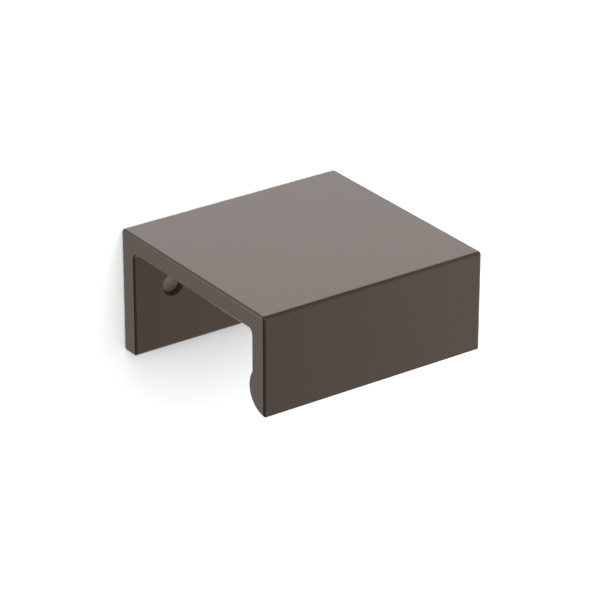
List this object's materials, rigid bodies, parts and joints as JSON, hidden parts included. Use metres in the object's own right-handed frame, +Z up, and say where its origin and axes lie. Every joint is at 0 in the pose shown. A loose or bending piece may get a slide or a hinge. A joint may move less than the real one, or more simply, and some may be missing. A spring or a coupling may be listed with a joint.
{
  "type": "tab pull",
  "caption": "One-piece edge pull of U section for a drawer or door front, with a rounded finger lip along the lower edge of its front plate.",
  "frame": {"origin": "midway between the two screw holes, on the mounting face of the back plate", "axes": "+X along the length, +Y out of the mounting face into the furniture front, +Z up towards the top plate; the front plate is towards -Y"},
  "size_m": [0.05, 0.048, 0.026],
  "materials": {
    "bronze_metal": "satin dark bronze anodised"
  },
  "bodies": {
    "root": {"pull": "bronze_metal"}
  },
  "joints": []
}
